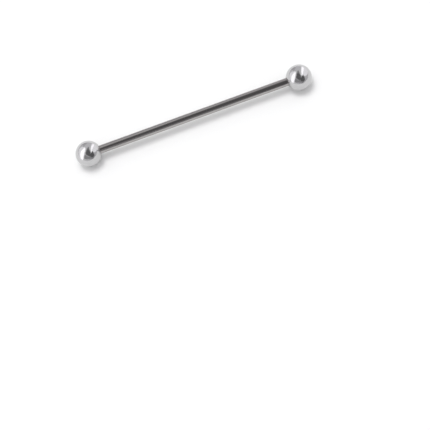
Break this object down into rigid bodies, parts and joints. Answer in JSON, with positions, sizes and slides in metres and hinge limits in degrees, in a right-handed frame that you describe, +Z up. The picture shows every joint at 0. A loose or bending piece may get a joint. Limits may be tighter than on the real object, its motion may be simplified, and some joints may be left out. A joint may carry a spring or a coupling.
{
  "type": "industrial barbell",
  "caption": "Straight body-jewellery barbell: a polished steel bar with a threaded stud on each end and a ball that screws onto each stud.",
  "frame": {"origin": "middle of the bar, on its axis", "axes": "+X along the bar towards ball_right, +Z up from the surface that both balls lie on, +Y level across the bar"},
  "size_m": [0.0476, 0.005, 0.005],
  "materials": {
    "bar_steel": "316L surgical steel, mirror polished along its length",
    "ball_steel": "316L surgical steel, mirror polished"
  },
  "bodies": {
    "bar": {"shaft": "bar_steel"},
    "left_ball": {"ball_left": "ball_steel"},
    "right_ball": {"ball_right": "ball_steel"}
  },
  "joints": [
    {"name": "ball_left_off", "type": "slide", "parent": "bar", "child": "left_ball", "axis": [-1, 0, 0], "range_m": [0, 0.01]},
    {"name": "ball_right_off", "type": "slide", "parent": "bar", "child": "right_ball", "axis": [1, 0, 0], "range_m": [0, 0.01]}
  ]
}
